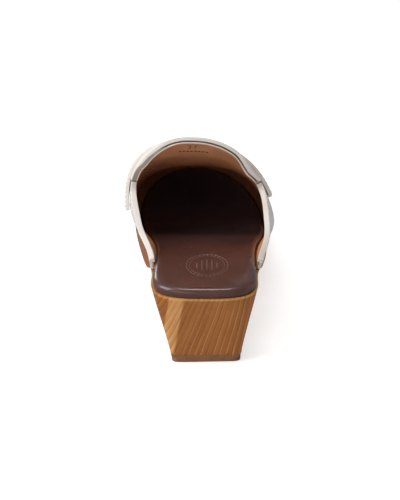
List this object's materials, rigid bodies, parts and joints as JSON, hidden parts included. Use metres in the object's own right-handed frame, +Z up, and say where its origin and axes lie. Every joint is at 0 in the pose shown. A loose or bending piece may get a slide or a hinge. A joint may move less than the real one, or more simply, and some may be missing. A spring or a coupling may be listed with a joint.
{
  "type": "wooden clog",
  "caption": "Backless slip-on clog for the right foot with a wooden sole and block heel, a smooth leather upper with a saddle strap, and a leather-covered foot bed.",
  "frame": {"origin": "centre of the bounding box at ground level, under the resting shoe", "axes": "+Y from heel to toe, +X to the outer side of the right foot, +Z up"},
  "size_m": [0.095, 0.246, 0.1041],
  "materials": {
    "varnished_wood": "honey-brown beech under a satin varnish, fine growth lines",
    "lift_rubber": "matt olive-brown rubber",
    "nail_steel": "plain steel nail heads",
    "outsole_rubber": "matt brown rubber with a fine texture",
    "fibre_board": "raw fibre board",
    "cushion_foam": "soft open foam",
    "brown_leather": "dark brown smooth leather, slightly glossy edge",
    "white_leather": "smooth off-white leather with a soft sheen",
    "strap_leather": "smooth off-white leather with a rounded edge",
    "tan_lining": "tan calf lining leather, matt",
    "cream_edge": "cream edge binding",
    "pale_edge": "pinkish-cream raw edge strip"
  },
  "bodies": {
    "root": {"wooden_sole": "varnished_wood", "heel_lift": "lift_rubber", "heel_lift_nails": "nail_steel", "forepart_outsole": "outsole_rubber", "insole_board": "fibre_board", "insole_foam": "cushion_foam", "sock_cover": "brown_leather", "vamp": "white_leather", "apron": "white_leather", "tongue": "white_leather", "saddle_strap": "strap_leather", "quarter_medial": "white_leather", "quarter_lateral": "white_leather", "vamp_lining": "tan_lining", "apron_lining": "tan_lining", "tongue_lining": "tan_lining", "quarter_lining_medial": "tan_lining", "quarter_lining_lateral": "tan_lining", "topline_binding_medial": "cream_edge", "topline_binding_lateral": "cream_edge", "tongue_edge_binding": "pale_edge"}
  },
  "joints": []
}
